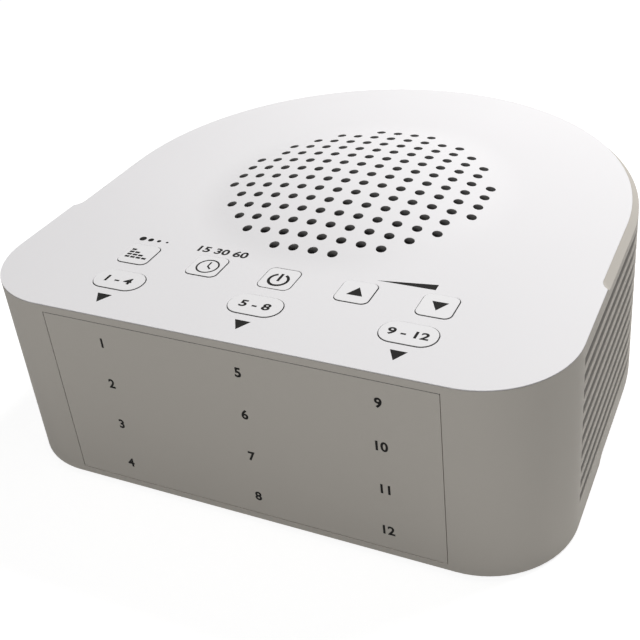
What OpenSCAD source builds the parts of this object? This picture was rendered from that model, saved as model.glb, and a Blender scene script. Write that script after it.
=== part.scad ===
// White noise sound machine: a bedside speaker with a square front and a half-round back.
// A white cover with a domed grille and eight push buttons drops into a ribbed housing;
// the speaker and the keypad hang from the cover, the main board stands on the base plate.
// Millimetres. Origin on the resting surface under the grille's centre, +Z up, front at -Y.

/* [Body] */
// Width of the body, which is twice the radius of its half-round back
body_w = 176; // [168:1:210]
// Radius of the two front corners
corner_r = 26.5; // [16:0.5:32]
// Height of the walls, from their lower edge to the flat top
body_h = 62; // [60:0.5:80]
// Thickness of the housing's wall
wall = 3.2; // [2.8:0.1:4]
// Thickness of the top cover
cover_t = 2.5; // [2:0.1:3]
// Thickness of the base plate
base_t = 2.5; // [2:0.1:4]
// Width of the shelf inside the wall that the base plate is pulled up against
shelf_w = 1.8; // [1:0.1:3]
// Thickness of that shelf
shelf_t = 1.6; // [1:0.1:3]

/* [Bevels] */
// Width of the bevel round the back of the top edge, seen from above
bevel_w = 2.05; // [1:0.05:2.6]
// Height of that bevel
bevel_h = 2.1; // [1:0.1:4]
// Distance that both bevels run forward of the grille's centre
bevel_reach = 31.5; // [10:0.5:50]
// Radius in which the top bevel runs out
bevel_end_r = 5; // [4:0.5:8]
// Width and height of the bevel round the back of the bottom edge
skirt_bevel = 1.7; // [0.5:0.1:2.2]
// Upright edge of the top cover, above its mitre
cover_land = 0.3; // [0.2:0.1:0.8]

/* [Side grooves] */
// Height from one groove to the next
groove_pitch = 5.1; // [4:0.05:6]
// Height of one groove
groove_h = 3.3; // [2:0.1:3.6]
// Depth of one groove
groove_depth = 1.6; // [0.5:0.1:1.8]
// Height from the upper edge of the first groove up to the flat top
groove_drop = 4.75; // [4.3:0.05:6]
// Least height of the plain band under the last groove
groove_floor = 5; // [3:0.5:12]
// Distance of the grooves' front ends behind the corners' curves
groove_in = 0.5; // [0.5:0.5:20]
// Width of the plain patch round the inlet, where the grooves stop
plain_patch_w = 36; // [20:1:60]

/* [Grille] */
// Distance between neighbouring grille holes
hole_pitch = 6.35; // [5.5:0.05:8]
// Diameter of a grille hole
hole_d = 3.1; // [1.5:0.1:3.6]
// Radius within which the holes' centres lie
hole_field_r = 43.2; // [20:0.1:43.4]
// Radius of the sphere that the dome is part of
dome_r = 257; // [240:1:400]
// Height of the dome above the flat top
dome_rise = 4.6; // [3:0.1:5]
// Radius of the hollow blend between the dome and the flat top
dome_blend_r = 55; // [40:1:70]

/* [Front panel] */
// Distance of the recess's sides inside the corners' curves
panel_side = 2.1; // [1:0.1:10]
// Thickness of the front panel and depth of its recess
panel_t = 1; // [0.6:0.1:1.4]
// Height from the recess's upper edge up to the flat top
panel_drop = 2.55; // [2.5:0.05:2.9]
// Height of the recess's lower edge above the wall's
panel_rise = 2.05; // [1.5:0.05:10]
// Width of the hairline gap round the front panel
panel_gap = 0.2; // [0.2:0.05:0.6]

/* [Buttons] */
// Width of a square button
square_w = 10.1; // [8:0.1:12]
// Depth of a square button, front to back
square_d = 10.2; // [8:0.1:11]
// Corner radius of a square button
square_corner_r = 2; // [1:0.1:3.5]
// Distance of the square buttons' row in front of the speaker's edge
square_row_out = 10; // [9:0.1:14]
// Distance between neighbouring square buttons
square_pitch = 23.75; // [22:0.05:24]
// Width of an oval button
oval_w = 16; // [14:0.1:18]
// Depth of an oval button, front to back
oval_d = 9.1; // [8.9:0.1:10]
// Corner radius of an oval button
oval_corner_r = 4.3; // [2:0.1:4.4]
// Distance between the two rows of buttons
row_pitch = 14.1; // [12.7:0.1:18]
// Distance of the oval buttons' row behind the front face
oval_row_in = 17.4; // [12:0.1:24]
// Distance between neighbouring oval buttons
oval_pitch = 44.7; // [38:0.1:45]
// Height of the buttons above the flat top
button_proud = 0.2; // [0.2:0.1:2]
// Height of the power button above the flat top
power_proud = 0.05; // [0.05:0.05:1]
// Travel of a button
button_travel = 0.8; // [0.4:0.1:1.5]
// Width of the gap round a button in its opening
button_gap = 0.25; // [0.2:0.05:0.6]
// Width of the flange that keeps a button under the cover
flange_w = 1.2; // [0.8:0.1:1.4]
// Thickness of that flange
flange_t = 1; // [0.6:0.1:2]
// Height of the gap between the flange and the cover
flange_gap = 0.3; // [0.2:0.05:0.5]
// Diameter of a button's stem
stem_d = 4; // [3.4:0.1:6]
// Length of a button's stem below its flange
stem_l = 5; // [3:0.5:8]

/* [Keypad] */
// Thickness of the two circuit boards
board_t = 1.6; // [1:0.1:2]
// Width and depth of a tactile switch
switch_w = 6; // [5:0.5:8]
// Height of a tactile switch's case
switch_h = 3.5; // [3.4:0.1:5]
// Diameter of a switch's plunger
plunger_d = 3.4; // [2:0.1:4]
// Height that a pressed plunger still stands above its switch's case
plunger_rest = 0.4; // [0.2:0.1:1]
// Length of the plunger inside the switch's case
plunger_in = 1.5; // [1:0.1:1.7]
// Radial clearance of the plunger in the switch's case
plunger_gap = 0.1; // [0.05:0.05:0.3]
// Diameter of the posts that carry the keypad board
keypad_post_d = 5.5; // [4.5:0.1:6]
// Gap between a button's flange and the nearest post
post_gap = 1; // [0.5:0.1:2]
// Margin of the keypad board outside its posts and buttons
keypad_margin = 1; // [0.5:0.1:2]

/* [Speaker] */
// Outer diameter of the speaker's flange
speaker_d = 93; // [92.6:0.1:94]
// Width of the seat, gasket and glued lip round the speaker's flange
seat_w = 2.4; // [2:0.1:2.5]
// Height of the seat under the cover
seat_h = 2; // [1:0.1:3]
// Thickness of the foam gasket
gasket_t = 1.5; // [1:0.1:2]
// Thickness of the speaker frame's sheet metal
frame_t = 1.5; // [1:0.1:1.8]
// Depth of the speaker frame, from its flange to the magnet
frame_h = 21; // [20:0.5:24]
// Radius of the round bottom of the speaker frame
frame_foot_r = 26; // [25:0.5:28]
// Height of the straight foot of the speaker frame
frame_foot_h = 3; // [2.8:0.1:4]
// Number of windows in the speaker frame
window_count = 6; // [4:1:8]
// Angle that one window takes up
window_angle = 38; // [20:1:40]
// Height of a window
window_h = 10; // [6:0.5:11]
// Distance of a mounting ear's hole from the flange's edge
ear_out = 4.5; // [4:0.1:6]
// Radius of a mounting ear
ear_r = 4.5; // [4:0.1:5]
// Diameter of the cover's posts that carry the speaker
speaker_post_d = 7; // [5:0.1:8]
// Radius of the voice coil, outside
coil_r = 10.2; // [8:0.1:12]
// Thickness of the voice coil and its former
coil_t = 0.6; // [0.4:0.1:1]
// Length of the voice coil
coil_h = 14.5; // [13:0.5:16]
// Radial gap between the voice coil and the magnet's iron
coil_gap = 0.7; // [0.4:0.1:1]
// Thickness of the paper cone and its surround
cone_t = 0.6; // [0.4:0.1:1]
// Depth of the paper cone
cone_h = 12; // [10:0.5:13]
// Radius of the surround's half-round roll
roll_r = 2.2; // [1.5:0.1:2.5]
// Radius of the dust cap's rim
dust_cap_r = 13; // [12:0.5:16]
// Radius of the sphere that the dust cap is part of
dust_cap_sphere_r = 18; // [17:1:30]
// Depth of the ripples in the spider
ripple_h = 0.8; // [0.4:0.1:1]
// Number of ripples in the spider
ripple_count = 3; // [2:1:4]
// Width of the shelf that the spider is glued to
spider_shelf = 3; // [2:0.5:4]
// Radius of the magnet ring
magnet_r = 25; // [20:0.5:26]
// Thickness of the magnet ring
magnet_h = 9; // [6:0.5:10]
// Thickness of the iron plates on both sides of the magnet
iron_t = 3; // [2:0.5:4]
// Distance of the iron plates' edge inside the magnet's
iron_in = 1; // [0.5:0.5:3]
// Radial gap between the voice coil and the magnet ring
magnet_gap = 2.8; // [1:0.1:4]
// Distance between the speaker's two solder lugs
lug_pitch = 5; // [4:0.5:8]
// Distance of the lugs outside the frame's round bottom
lug_out = 5; // [4:0.5:6]
// Diameter of a solder lug
lug_d = 2.4; // [2:0.1:3.5]
// Thickness of a solder lug
lug_t = 0.3; // [0.2:0.1:0.5]

/* [Main board] */
// Width of the main board
main_w = 64; // [60:1:66]
// Depth of the main board, front to back
main_d = 50; // [45:1:60]
// Gap between the main board's back corners and the wall
main_gap = 2.3; // [1:0.1:6]
// Height of the main board above the base plate
standoff_h = 5; // [3:0.5:6]
// Diameter of a standoff
standoff_d = 6; // [5:0.5:8]
// Distance of a standoff's centre from the board's edges
standoff_in = 4; // [3.5:0.5:6]
// Width of a cable header
header_w = 16; // [14:0.5:17]
// Depth of a cable header
header_d = 6; // [4:0.5:8]
// Height of a cable header
header_h = 6; // [5:0.5:6.5]
// Distance of the speaker's header to the right of the middle
speaker_header_x = 20; // [16:0.5:22]
// Distance of the speaker's header behind the board's front edge
speaker_header_in = 14; // [10:0.5:18]
// Diameter of a smoothing capacitor
capacitor_d = 8; // [6:0.5:10]
// Height of a smoothing capacitor
capacitor_h = 10; // [8:0.5:12]
// Distance of the capacitors from the middle
capacitor_x = 15; // [12:0.5:18]
// Distance of the capacitors in front of the board's back edge
capacitor_in = 8; // [6:0.5:8]
// Width of the ribbon cable
ribbon_w = 14; // [8:0.5:14]
// Thickness of the ribbon cable
ribbon_t = 1; // [0.6:0.1:1.5]
// Radius of the ribbon cable's bend
ribbon_bend_r = 8; // [4:0.5:12]
// Diameter of a speaker wire
wire_d = 1.6; // [1:0.1:2]
// Height that a wire stands straight up from its lug and its header
wire_rise = 3; // [2:0.5:5]
// Distance that the wires swing out behind the straight line between their ends
wire_swing = 12; // [8:0.5:16]

/* [Inlet] */
// Diameter of the plug's hole in the inlet
inlet_bore_d = 6.3; // [5:0.1:6.4]
// Depth of the plug's hole
inlet_bore_l = 11; // [8:0.5:12]
// Diameter of the inlet's pin
inlet_pin_d = 2; // [1.3:0.1:2.5]
// Length of the inlet's pin
inlet_pin_l = 9.5; // [6:0.5:10.5]
// Diameter of the inlet's nose
inlet_nose_d = 8; // [7.5:0.1:9]
// Depth of the nose's end below the housing's outer face
inlet_nose_in = 0.6; // [0.2:0.1:1.5]
// Gap round the nose in the housing's hole
inlet_gap = 0.3; // [0.2:0.1:0.6]
// Width of the inlet's case
inlet_w = 9; // [8.5:0.1:11]
// Length of the inlet's case
inlet_l = 12.5; // [11:0.5:14]
// Height of the inlet's case
inlet_h = 11; // [10.6:0.1:12]
// Height of the pin's axis above the main board
inlet_axis_h = 6.5; // [6:0.1:6.6]

/* [Feet and screws] */
// Height of the feet below the walls
foot_h = 1.5; // [1:0.1:4]
// Diameter of a foot
foot_d = 13; // [8:0.5:16]
// Depth that a foot is let into the base plate
foot_in = 1; // [0.5:0.1:1.5]
// Bevel round the lower edge of a foot
foot_edge = 0.5; // [0.2:0.1:0.8]
// Distance of the front feet inside the sides
front_foot_side = 40; // [30:1:60]
// Distance of the front feet behind the front face
front_foot_in = 15; // [12:0.5:30]
// Distance of the rear feet inside the outer face
rear_foot_in = 13.7; // [12:0.1:20]
// Angle of the rear feet round the grille's centre, from the right
rear_foot_angle = 66; // [60:1:70]
// Distance of the front case screws behind the front face
front_screw_in = 22; // [16:0.5:28]
// Gap between the keypad board and the front case posts
front_post_gap = 0.9; // [0.5:0.1:3]
// Distance of the rear case screws inside the outer face
rear_screw_in = 16; // [14:0.5:20]
// Angle of the rear case screws round the grille's centre, from the right
rear_screw_angle = 46; // [40:1:50]
// Diameter of the cover's posts for the case screws
case_post_d = 7; // [6:0.5:8]
// Shank diameter of a case screw
case_screw_d = 2.6; // [2.2:0.1:3]
// Diameter of a case screw's head
case_head_d = 6.2; // [5:0.1:6.4]
// Depth of that head's face below the base plate's
head_sink = 0.2; // [0:0.1:0.3]
// Length of a case screw's thread in its post
case_screw_grip = 12; // [8:0.5:16]
// Shank diameter of the small screws
small_screw_d = 2.2; // [1.8:0.1:2.4]
// Diameter of a small screw's head
small_head_d = 4.4; // [4:0.1:5.4]
// Length of a small screw's thread in its post
small_screw_grip = 4; // [3:0.5:4.2]
// Radial clearance of a screw in the piece that it holds
screw_gap = 0.3; // [0.2:0.05:0.5]
// Height of a screw's head
screw_head_h = 1.3; // [1:0.1:1.4]
// Gap between the base plate and the housing's wall
base_gap = 0.2; // [0.1:0.05:0.5]

/* [Hidden] */
$fn = 96;
// Overlap that keeps joined shapes and cuts from ending on a shared face
eps = 0.01;

// Plan
half_w = body_w / 2;
speaker_r = speaker_d / 2;
square_row = speaker_r + square_row_out;
oval_row = square_row + row_pitch;
front_reach = oval_row + oval_row_in;
corner_x = half_w - corner_r;
corner_y = front_reach - corner_r;
groove_reach = corner_y - groove_in;
beyond = 2 * (half_w + front_reach);

// Heights of the shells
wall_z = foot_h;
base_top = wall_z + base_t;
top_z = wall_z + body_h;
cover_under = top_z - cover_t;
post_top = top_z - cover_t / 2;
mitre = cover_t - cover_land;
bevel_axis = bevel_end_r - bevel_w;
panel_w = 2 * (corner_x - panel_side);
panel_h = body_h - panel_drop - panel_rise;
groove_count = 1 + floor((body_h - groove_drop - groove_h - groove_floor - skirt_bevel) / groove_pitch);

// Dome: where its sphere is centred, and where the blend meets the flat and the sphere
dome_z = top_z + dome_rise - dome_r;
blend_z = top_z + dome_blend_r;
blend_x = sqrt(pow(dome_r + dome_blend_r, 2) - pow(blend_z - dome_z, 2));
touch_x = blend_x * dome_r / (dome_r + dome_blend_r);

// Buttons: their places, row by row from the left
square_xs = [for (i = [-2 : 2]) i * square_pitch];
oval_xs = [for (i = [-1 : 1]) i * oval_pitch];
button_spots = concat([for (x = square_xs) [x, -square_row]], [for (x = oval_xs) [x, -oval_row]]);

// Keypad heights, down from the cover
flange_top = cover_under - flange_gap;
flange_under = flange_top - flange_t;
plunger_top = flange_under - stem_l;
plunger_out = plunger_rest + button_travel;
switch_top = plunger_top - plunger_out;
well_floor = switch_top - plunger_in - button_travel - plunger_gap;
keypad_top = switch_top - switch_h;
keypad_under = keypad_top - board_t;

// Keypad plan: the outer posts stand beside both rows, the inner ones beside the middle button
keypad_post_x = max(2 * square_pitch + square_w / 2, oval_pitch + oval_w / 2)
    + flange_w + post_gap + keypad_post_d / 2;
keypad_half_w = keypad_post_x + keypad_post_d / 2 + keypad_margin;
keypad_front = -oval_row - oval_d / 2 - flange_w - keypad_margin;
keypad_back = -square_row + square_d / 2 + flange_w + keypad_margin;
keypad_posts = [
    for (s = [-1, 1]) each [
        [s * keypad_post_x, -square_row],
        [s * keypad_post_x, -oval_row],
        [s * square_pitch / 2, -square_row]
    ]
];

// Speaker heights, down from the cover
seat_z = cover_under - seat_h;
speaker_top = seat_z - gasket_t;
frame_z = speaker_top - frame_h;
plate_z = frame_z - iron_t;
magnet_z = plate_z - magnet_h;
yoke_z = magnet_z - iron_t;
ear_spots = [for (a = [45 : 90 : 315]) (speaker_r + ear_out) * [cos(a), sin(a)]];

// Speaker profile
lip_in = speaker_r - 2 * seat_w;
cone_r = lip_in - 2 * roll_r;
cone_z = speaker_top - cone_h;
flange_in = lip_in - frame_t / 2;
spider_z = frame_z + 2 * frame_t;
spider_r = frame_foot_r - frame_t;
frame_bore_r = coil_r + 2 * coil_gap;
lug_y = frame_foot_r + lug_out;
lug_z = frame_z + frame_t;

// Main board: its back corners stand just inside the wall
main_back = sqrt(pow(half_w - wall - main_gap, 2) - pow(main_w / 2, 2));
main_y = main_back - main_d;
main_z = base_top + standoff_h;
main_top = main_z + board_t;
standoff_spots = [
    for (s = [-1, 1]) each [
        [s * (main_w / 2 - standoff_in), main_y + standoff_in],
        [s * (main_w / 2 - standoff_in), main_back - standoff_in]
    ]
];
ribbon_y = -square_row;
ribbon_z = main_top + header_h / 2;
speaker_header_y = main_y + speaker_header_in;
header_top = main_top + header_h;

// Chips on the main board, as x and y of a corner from the middle of the board, then width,
// depth and height: sound processor, sound memory, power amplifier
chips = [[-20, -12, 12, 12, 1.6], [-20, 4, 8, 5, 1.6], [12, -1, 7, 9, 2.4]];

// Inlet: the back of its case stands just inside the wall
inlet_y = half_w - wall - 2 * inlet_gap;
inlet_z = main_top + inlet_axis_h;
inlet_end = half_w - inlet_nose_in;

// Feet and screws
rear_foot = (half_w - rear_foot_in) * [cos(rear_foot_angle), sin(rear_foot_angle)];
foot_spots = [
    for (s = [-1, 1]) each [
        [s * (half_w - front_foot_side), front_foot_in - front_reach],
        [s * rear_foot[0], rear_foot[1]]
    ]
];
front_screw_x = keypad_half_w + front_post_gap + case_post_d / 2;
rear_screw = (half_w - rear_screw_in) * [cos(rear_screw_angle), sin(rear_screw_angle)];
case_screw_spots = [
    for (s = [-1, 1]) each [
        [s * front_screw_x, front_screw_in - front_reach],
        [s * rear_screw[0], rear_screw[1]]
    ]
];
head_recess_h = screw_head_h + head_sink;

// The points of one speaker wire, from its lug to its header; x is the wire's distance from the
// middle of the pair, on the left or the right of it
function wire_points(x) =
    let(
        lug = [x, lug_y, lug_z],
        socket = [x + speaker_header_x, speaker_header_y, header_top],
        up = [0, 0, wire_rise],
        back = [0, wire_swing, 0]
    )
    [
        lug, lug + up / 2, lug + up, lug + up + back / 2, (lug + socket) / 2 + back,
        socket + 2 * up, socket + up, socket + up / 2, socket
    ];

// Shared shapes

// The outline of the body, a given distance inside its outer face
module plan(inset = 0) {
    intersection() {
        circle(r = half_w - inset);
        translate([-half_w - beyond / 2, 0]) square([2 * half_w + beyond, beyond]);
    }
    translate([-(half_w - inset), -corner_y]) square([2 * (half_w - inset), corner_y]);
    translate([-corner_x, -(front_reach - inset)]) square([2 * corner_x, front_reach - inset]);
    for (s = [-1, 1])
        translate([s * corner_x, -corner_y]) circle(r = corner_r - inset);
}

// A slab on the plan whose edge slopes from one inset at the bottom to another at the top
module sloped_slab(inset_low, inset_high, h) {
    low = half_w - inset_low;
    high = half_w - inset_high;
    rotate_extrude(angle = 180) polygon([[0, 0], [low, 0], [high, h], [0, h]]);
    rotate([90, 0, 0]) linear_extrude(corner_y) polygon([[-low, 0], [low, 0], [high, h], [-high, h]]);
    translate([-corner_x, 0, 0]) rotate([90, 0, 90]) linear_extrude(2 * corner_x)
        polygon([
            [inset_low - front_reach, 0], [-corner_y, 0], [-corner_y, h], [inset_high - front_reach, h]
        ]);
    for (s = [0, 1])
        mirror([s, 0, 0]) translate([corner_x, -corner_y, 0]) rotate(-90) rotate_extrude(angle = 90)
            polygon([[0, 0], [corner_r - inset_low, 0], [corner_r - inset_high, h], [0, h]]);
}

// Carries a profile round the back edge and along both sides to the bevels' front ends, where
// it turns about an upright axis outside the wall. In the profile, x is measured outwards from
// the wall's face, up to that axis, and y is the height.
module along_back_edge() {
    rotate_extrude(angle = 180) translate([half_w, 0]) children();
    for (s = [0, 1])
        mirror([s, 0, 0]) {
            translate([half_w, 0, 0]) rotate([90, 0, 0]) linear_extrude(bevel_reach) children();
            translate([half_w + bevel_axis, -bevel_reach, 0]) rotate(180) rotate_extrude(angle = 90)
                translate([bevel_axis, 0]) mirror([1, 0]) children();
        }
}

// A rectangle with round corners, centred
module round_rect(w, d, r) {
    square([w, d - 2 * r], center = true);
    square([w - 2 * r, d], center = true);
    for (sx = [-1, 1], sy = [-1, 1])
        translate([sx * (w / 2 - r), sy * (d / 2 - r)]) circle(r = r);
}

// A square or an oval button's outline, grown by a margin
module square_outline(grow = 0) {
    round_rect(square_w + 2 * grow, square_d + 2 * grow, square_corner_r + grow);
}

module oval_outline(grow = 0) {
    round_rect(oval_w + 2 * grow, oval_d + 2 * grow, oval_corner_r + grow);
}

// Copies the children to each of a list of places
module at(spots, z = 0) {
    for (p = spots)
        translate([p[0], p[1], z]) children();
}

// A ring between two radii
module ring(r_out, r_in, h) {
    difference() {
        cylinder(r = r_out, h = h);
        translate([0, 0, -1]) cylinder(r = r_in, h = h + 2);
    }
}

// A screw with its head's seat at z 0 and its shank pointing up
module screw(d, l, head_d) {
    slot = d / 3;
    difference() {
        union() {
            translate([0, 0, -screw_head_h]) cylinder(d = head_d, h = screw_head_h);
            cylinder(d = d, h = l, $fn = 32);
        }
        for (a = [0, 90])
            rotate(a) translate([-d / 2, -slot / 2, -screw_head_h - 1])
                cube([d, slot, 1 + screw_head_h / 2]);
    }
}

// Top cover and housing

// The cover's mitred plate, cut back round the bevel; its upright land can be grown by a margin
module cover_body(grow = 0) {
    difference() {
        union() {
            translate([0, 0, cover_under]) sloped_slab(mitre, 0, mitre);
            translate([0, 0, top_z - cover_land]) linear_extrude(cover_land + grow) plan(-grow);
        }
        along_back_edge()
            polygon([
                [-bevel_w - mitre - 1, cover_under - 1], [bevel_axis, cover_under - 1],
                [bevel_axis, top_z + 1], [-bevel_w, top_z + 1], [-bevel_w, top_z - cover_land]
            ]);
    }
}

module dome() {
    intersection() {
        translate([0, 0, dome_z]) sphere(r = dome_r, $fn = 200);
        translate([0, 0, post_top]) cylinder(r = blend_x, h = dome_rise + cover_t);
    }
    rotate_extrude() difference() {
        translate([touch_x - wall, post_top]) square([blend_x - touch_x + wall, cover_t]);
        translate([blend_x, blend_z]) circle(r = dome_blend_r, $fn = 400);
        translate([0, dome_z]) circle(r = dome_r - cover_t / 2, $fn = 400);
    }
}

module dome_hollow() {
    intersection() {
        translate([0, 0, dome_z]) sphere(r = dome_r - cover_t, $fn = 200);
        translate([0, 0, cover_under - 1]) cylinder(r = blend_x, h = dome_rise + cover_t);
    }
}

module grille_holes() {
    n = ceil(hole_field_r / hole_pitch);
    for (i = [-n : n - 1], j = [-n : n - 1]) {
        spot = [i + 0.5, j + 0.5] * hole_pitch;
        if (norm(spot) <= hole_field_r)
            translate([spot[0], spot[1], seat_z])
                cylinder(d = hole_d, h = seat_h + cover_t + dome_rise + 1, $fn = 24);
    }
}

module button_openings() {
    translate([0, 0, cover_under - 1]) linear_extrude(cover_t + 2) {
        for (x = square_xs)
            translate([x, -square_row]) square_outline(button_gap);
        for (x = oval_xs)
            translate([x, -oval_row]) oval_outline(button_gap);
    }
}

// White moulding with the grille and the button openings; all its posts hang from it
module top_cover() {
    color("white") difference() {
        union() {
            difference() {
                union() {
                    cover_body();
                    dome();
                }
                dome_hollow();
                button_openings();
            }
            translate([0, 0, seat_z]) ring(speaker_r, speaker_r - seat_w, seat_h + cover_t / 2);
            at(ear_spots, speaker_top) cylinder(d = speaker_post_d, h = post_top - speaker_top);
            at(keypad_posts, keypad_top) cylinder(d = keypad_post_d, h = post_top - keypad_top);
            at(case_screw_spots, base_top) cylinder(d = case_post_d, h = post_top - base_top);
        }
        grille_holes();
        at(ear_spots, speaker_top - 1) cylinder(d = small_screw_d, h = small_screw_grip + 1, $fn = 32);
        at(keypad_posts, keypad_top - 1) cylinder(d = small_screw_d, h = small_screw_grip + 1, $fn = 32);
        at(case_screw_spots, base_top - 1) cylinder(d = case_screw_d, h = case_screw_grip + 1, $fn = 32);
    }
}

module side_grooves() {
    for (i = [0 : groove_count - 1])
        translate([0, 0, top_z - groove_drop - groove_h - i * groove_pitch])
            linear_extrude(groove_h) difference() {
                plan(-groove_depth);
                plan(groove_depth);
                translate([-beyond / 2, -beyond - groove_reach]) square(beyond);
                translate([-plain_patch_w / 2, 0]) square([plain_patch_w, beyond]);
            }
}

// Grey moulding: the wall, with its grooves, both bevels and the seats of what fits in it
module housing() {
    color([0.62, 0.6, 0.57]) difference() {
        translate([0, 0, wall_z]) {
            linear_extrude(body_h) difference() {
                plan();
                plan(wall);
            }
            translate([0, 0, base_t]) linear_extrude(shelf_t) difference() {
                plan(wall - eps);
                plan(wall + shelf_w);
            }
        }
        side_grooves();
        cover_body(eps);
        along_back_edge()
            polygon([
                [0, top_z - bevel_h], [bevel_axis, top_z - bevel_h],
                [bevel_axis, top_z + 1], [-bevel_w, top_z + 1], [-bevel_w, top_z]
            ]);
        along_back_edge()
            polygon([
                [-skirt_bevel, wall_z - 1], [bevel_axis, wall_z - 1],
                [bevel_axis, wall_z + skirt_bevel], [0, wall_z + skirt_bevel], [-skirt_bevel, wall_z]
            ]);
        translate([-panel_w / 2, -front_reach - 1, top_z - panel_drop - panel_h])
            cube([panel_w, panel_t + 1, panel_h]);
        translate([0, half_w - 2 * wall, inlet_z]) rotate([-90, 0, 0])
            cylinder(d = inlet_nose_d + 2 * inlet_gap, h = 3 * wall);
    }
}

// Flat plate glued into the recess in the housing's front
module front_panel() {
    color([0.62, 0.6, 0.57])
        translate([panel_gap - panel_w / 2, -front_reach, top_z - panel_drop - panel_h + panel_gap])
            cube([panel_w - 2 * panel_gap, panel_t, panel_h - 2 * panel_gap]);
}

// Base, feet and case screws

// Plate inside the wall's lower edge, with standoffs for the main board
module base_plate() {
    color([0.55, 0.53, 0.5]) difference() {
        union() {
            translate([0, 0, wall_z]) linear_extrude(base_t) plan(wall + base_gap);
            at(standoff_spots, wall_z) cylinder(d = standoff_d, h = base_t + standoff_h);
        }
        at(foot_spots, wall_z - 1) cylinder(d = foot_d, h = foot_in + 1);
        at(case_screw_spots, wall_z - 1) {
            cylinder(d = case_head_d + 2 * screw_gap, h = head_recess_h + 1);
            cylinder(d = case_screw_d + 2 * screw_gap, h = base_t + 2, $fn = 32);
        }
        at(standoff_spots, main_z - small_screw_grip)
            cylinder(d = small_screw_d, h = small_screw_grip + 1, $fn = 32);
    }
}

// Four rubber feet, each let into its pocket in the base plate
module rubber_feet() {
    color([0.15, 0.15, 0.15]) at(foot_spots) rotate_extrude()
        polygon([
            [0, 0], [foot_d / 2 - foot_edge, 0], [foot_d / 2, foot_edge],
            [foot_d / 2, foot_h + foot_in], [0, foot_h + foot_in]
        ]);
}

// Four screws that pull the cover's posts down onto the base plate
module case_screws() {
    color("silver") at(case_screw_spots, wall_z + head_recess_h)
        screw(case_screw_d, base_t - head_recess_h + case_screw_grip, case_head_d);
}

// Buttons: a cap, the flange that stops it under the cover, and the stem over its switch

module button_body(spot, proud = button_proud) {
    translate([spot[0], spot[1], 0]) {
        translate([0, 0, plunger_top]) cylinder(d = stem_d, h = stem_l + flange_t / 2);
        translate([0, 0, flange_under]) linear_extrude(flange_t) children(0);
        translate([0, 0, flange_top - eps])
            linear_extrude(top_z + proud - flange_top + eps) children(1);
    }
}

module square_button(i, proud = button_proud) {
    color([0.95, 0.95, 0.95]) button_body(button_spots[i], proud) {
        square_outline(flange_w);
        square_outline();
    }
}

module oval_button(i) {
    color([0.95, 0.95, 0.95]) button_body(button_spots[len(square_xs) + i]) {
        oval_outline(flange_w);
        oval_outline();
    }
}

module fade_button() { square_button(0); }
module timer_button() { square_button(1); }
module power_button() { square_button(2, power_proud); }
module volume_up_button() { square_button(3); }
module volume_down_button() { square_button(4); }
module left_sound_button() { oval_button(0); }
module middle_sound_button() { oval_button(1); }
module right_sound_button() { oval_button(2); }

// Keypad

// The sliding plunger of one switch, which its button's stem stands on
module plunger(i) {
    color([0.2, 0.2, 0.2]) at([button_spots[i]], switch_top - plunger_in)
        cylinder(d = plunger_d, h = plunger_in + plunger_out);
}

module fade_plunger() { plunger(0); }
module timer_plunger() { plunger(1); }
module power_plunger() { plunger(2); }
module volume_up_plunger() { plunger(3); }
module volume_down_plunger() { plunger(4); }
module left_sound_plunger() { plunger(5); }
module middle_sound_plunger() { plunger(6); }
module right_sound_plunger() { plunger(7); }

// Eight tactile switch cases, each with the well that its plunger slides in
module tact_switches() {
    color([0.25, 0.25, 0.27]) difference() {
        at(button_spots, keypad_top)
            translate([-switch_w / 2, -switch_w / 2, 0]) cube([switch_w, switch_w, switch_h]);
        at(button_spots, well_floor) cylinder(r = plunger_d / 2 + plunger_gap, h = switch_h);
    }
}

// Circuit board under the buttons, screwed to the cover's posts
module keypad_board() {
    color([0.1, 0.35, 0.2]) difference() {
        translate([-keypad_half_w, keypad_front, keypad_under])
            cube([2 * keypad_half_w, keypad_back - keypad_front, board_t]);
        at(keypad_posts, keypad_under - 1)
            cylinder(r = small_screw_d / 2 + screw_gap, h = board_t + 2, $fn = 32);
    }
}

module keypad_screws() {
    color("silver") at(keypad_posts, keypad_under)
        screw(small_screw_d, board_t + small_screw_grip, small_head_d);
}

// Speaker

// Foam ring between the cover's seat and the speaker's flange
module speaker_gasket() {
    color([0.2, 0.2, 0.2]) translate([0, 0, speaker_top]) ring(speaker_r, speaker_r - seat_w, gasket_t);
}

// Pressed steel frame with windows round its cone and four mounting ears
module speaker_frame() {
    window_z = frame_z + frame_foot_h + 2 * frame_t;
    color([0.3, 0.3, 0.32]) difference() {
        union() {
            rotate_extrude() polygon([
                [frame_bore_r, frame_z], [frame_foot_r, frame_z],
                [frame_foot_r, frame_z + frame_foot_h], [flange_in + frame_t, speaker_top - frame_t],
                [speaker_r, speaker_top - frame_t], [speaker_r, speaker_top],
                [flange_in, speaker_top], [spider_r, frame_z + frame_foot_h + frame_t],
                [spider_r, spider_z], [spider_r - spider_shelf, spider_z],
                [spider_r - spider_shelf, frame_z + frame_t], [frame_bore_r, frame_z + frame_t]
            ]);
            difference() {
                at(ear_spots, speaker_top - frame_t) cylinder(r = ear_r, h = frame_t);
                translate([0, 0, frame_z]) cylinder(r = speaker_r - frame_t, h = frame_h + 1);
            }
        }
        for (i = [0 : window_count - 1])
            rotate(360 * i / window_count - window_angle / 2) rotate_extrude(angle = window_angle)
                translate([frame_foot_r - frame_t, window_z]) square([speaker_r - frame_foot_r, window_h]);
        at(ear_spots, speaker_top - frame_t - 1)
            cylinder(r = small_screw_d / 2 + screw_gap, h = frame_t + 2, $fn = 32);
    }
}

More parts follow.
